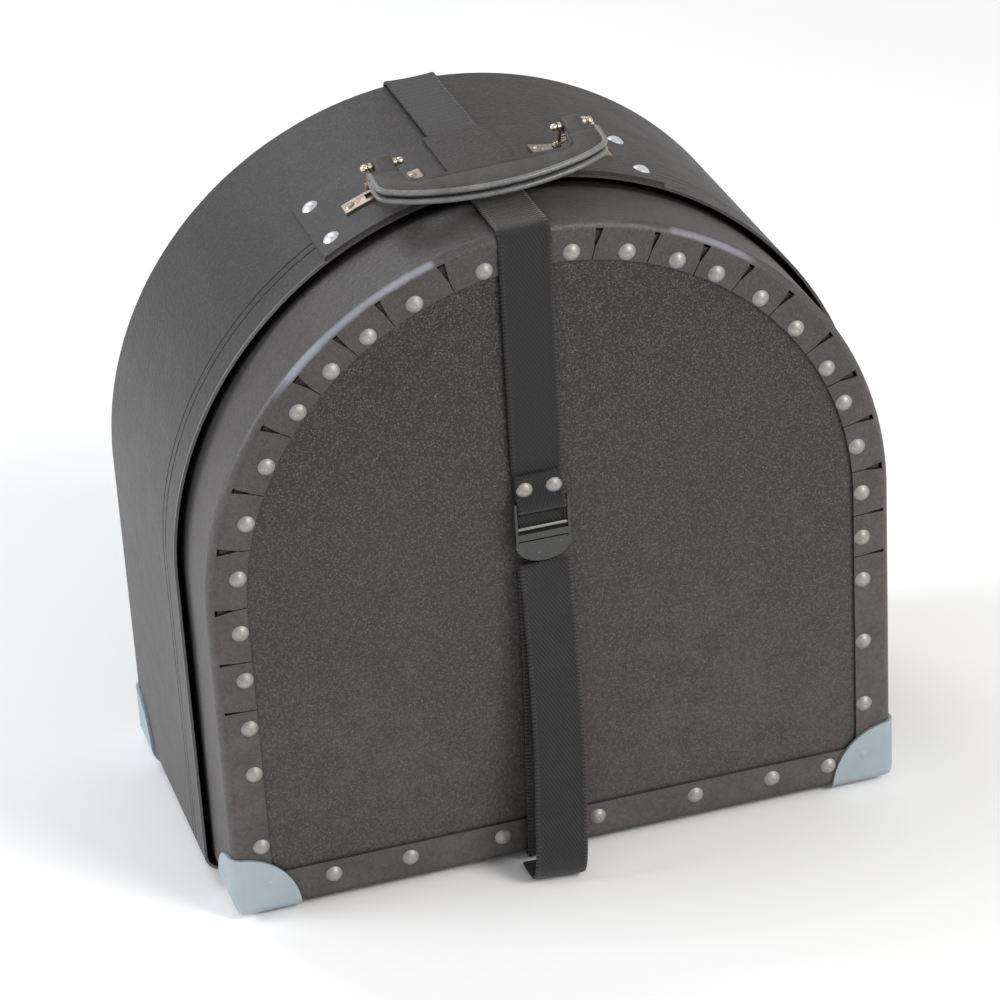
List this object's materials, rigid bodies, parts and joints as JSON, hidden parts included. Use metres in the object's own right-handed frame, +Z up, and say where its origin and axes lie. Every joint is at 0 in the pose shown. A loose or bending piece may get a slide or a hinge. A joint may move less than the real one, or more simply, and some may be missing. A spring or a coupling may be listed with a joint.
{
  "type": "fibre drum case",
  "caption": "Arched case of black fibre in two telescoping halves, with riveted rims, steel corner caps, a webbing strap with buckle and a fold-down handle.",
  "frame": {"origin": "on the floor under the middle of the closed case's bounding box, strap and handle included", "axes": "+X to the right seen from the front, +Y from the front panel to the back panel, +Z up"},
  "size_m": [0.3742, 0.23, 0.3809],
  "materials": {
    "fibre_wall": "pebbled vulcanised fibre, satin",
    "fibre_panel": "pebbled vulcanised fibre, matt with fine pale specks",
    "rivet": "dull nickel plate",
    "cap_steel": "zinc plated, pale blue grey",
    "nickel": "worn nickel plate over brass",
    "webbing": "woven black webbing",
    "buckle_black": "black lacquer, satin",
    "grip_leather": "smooth dark leather with piped edge"
  },
  "bodies": {
    "rear_shell": {"rear_panel": "fibre_panel", "rear_wall": "fibre_wall", "rear_rivets": "rivet", "rear_cap_left": "cap_steel", "rear_cap_right": "cap_steel", "rear_cap_rivets": "rivet", "handle_patch": "fibre_wall", "patch_rivets": "rivet", "handle_base_left": "nickel", "handle_base_right": "nickel", "handle_base_rivets": "nickel", "base_pin_left": "nickel", "base_pin_right": "nickel", "strap_rear_top": "webbing", "strap_rear_back": "webbing", "strap_rear_bottom": "webbing"},
    "front_shell": {"front_panel": "fibre_panel", "front_wall": "fibre_wall", "front_rivets": "rivet", "front_cap_left": "cap_steel", "front_cap_right": "cap_steel", "front_cap_rivets": "rivet", "strap_front_top": "webbing", "strap_front_upper": "webbing", "strap_end_rivets": "rivet", "strap_front_under": "webbing", "strap_front_lower": "webbing", "strap_tail": "webbing"},
    "buckle": {"buckle": "buckle_black", "strap_woven": "webbing"},
    "link_left": {"link_left": "nickel", "top_pin_left": "nickel"},
    "link_right": {"link_right": "nickel", "top_pin_right": "nickel"},
    "handle": {"handle_grip": "grip_leather", "handle_loop_left": "grip_leather", "handle_loop_right": "grip_leather"}
  },
  "joints": [
    {"name": "front_slide", "type": "slide", "parent": "rear_shell", "child": "front_shell", "axis": [0, -1, 0], "range_m": [0, 0.1]},
    {"name": "buckle_pivot", "type": "hinge", "parent": "front_shell", "child": "buckle", "pos_m": [-0.008, -0.08805, 0.2095], "axis": [-1, 0, 0], "range_deg": [0, 50]},
    {"name": "link_left_pivot", "type": "hinge", "parent": "rear_shell", "child": "link_left", "pos_m": [-0.05685, -0.00735, 0.35951], "axis": [-0.9991, 0, -0.0427], "range_deg": [0, 40]},
    {"name": "link_right_pivot", "type": "hinge", "parent": "rear_shell", "child": "link_right", "pos_m": [0.04106, -0.00735, 0.36369], "axis": [-0.9991, 0, -0.0427], "range_deg": [0, 40]},
    {"name": "handle_pivot", "type": "hinge", "parent": "link_left", "child": "handle", "pos_m": [-0.05739, -0.01371, 0.37197], "axis": [-0.9991, 0, -0.0427], "range_deg": [0, 150]}
  ],
  "couplings": [
    {"joint": "link_right_pivot", "follows": "link_left_pivot", "ratio": 1}
  ]
}
